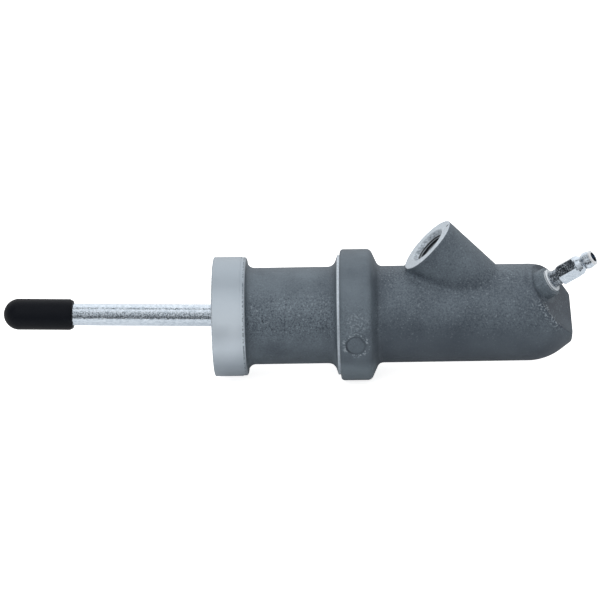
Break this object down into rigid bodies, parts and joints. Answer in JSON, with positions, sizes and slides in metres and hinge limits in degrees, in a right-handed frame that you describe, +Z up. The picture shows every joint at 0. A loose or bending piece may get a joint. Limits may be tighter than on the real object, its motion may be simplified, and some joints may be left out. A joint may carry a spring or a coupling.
{
  "type": "clutch slave cylinder",
  "caption": "Hydraulic clutch slave cylinder: round cast body with flange and collar, angled fluid port, bleed screw and a capped push rod.",
  "frame": {"origin": "on the cylinder axis, in the plane of the collar's front shoulder", "axes": "+X along the cylinder axis towards the closed end (the push rod points to -X), +Z up through the middle of the angled fluid port, +Y to the side"},
  "size_m": [0.2129, 0.0472, 0.0579],
  "materials": {
    "cast_iron_raw": "sand cast, machined on flange, land, port face and bore",
    "zinc_plated_steel": "bright zinc plating",
    "spring_steel": "plain",
    "turned_aluminium": "turned",
    "black_rubber": "matt",
    "black_soft_vinyl": "satin"
  },
  "bodies": {
    "cylinder": {"cylinder_casting": "cast_iron_raw", "stop_washer": "spring_steel", "snap_ring": "spring_steel", "dust_boot": "black_rubber", "boot_ring": "zinc_plated_steel", "return_spring": "spring_steel"},
    "piston_group": {"piston": "turned_aluminium", "piston_ring_seal": "black_rubber", "cup_washer": "spring_steel", "primary_cup": "black_rubber", "spring_seat": "spring_steel", "rod_clip": "spring_steel"},
    "rod": {"push_rod": "zinc_plated_steel"},
    "rod_cap": {"rod_end_cap": "black_soft_vinyl"},
    "bleed_screw": {"bleeder_screw": "zinc_plated_steel"}
  },
  "joints": [
    {"name": "piston_slide", "type": "slide", "parent": "cylinder", "child": "piston_group", "axis": [1, 0, 0], "range_m": [0, 0.022], "stiffness_N_per_m": 800, "springref_m": -0.02, "deforming": ["return_spring", "dust_boot"]},
    {"name": "rod_swing", "type": "hinge", "parent": "piston_group", "child": "rod", "pos_m": [-0.022, 0, 0], "axis": [0, -0.9272, 0.3746], "range_deg": [-1.8, 4.2]},
    {"name": "cap_pull", "type": "slide", "parent": "rod", "child": "rod_cap", "axis": [-0.9998, 0.0078, 0.0193], "range_m": [0, 0.026]},
    {"name": "bleed_turn", "type": "hinge", "parent": "cylinder", "child": "bleed_screw", "pos_m": [0.07576, -0.00488, 0.01417], "axis": [0.8039, -0.1937, 0.5624], "range_deg": [0, 360]}
  ]
}
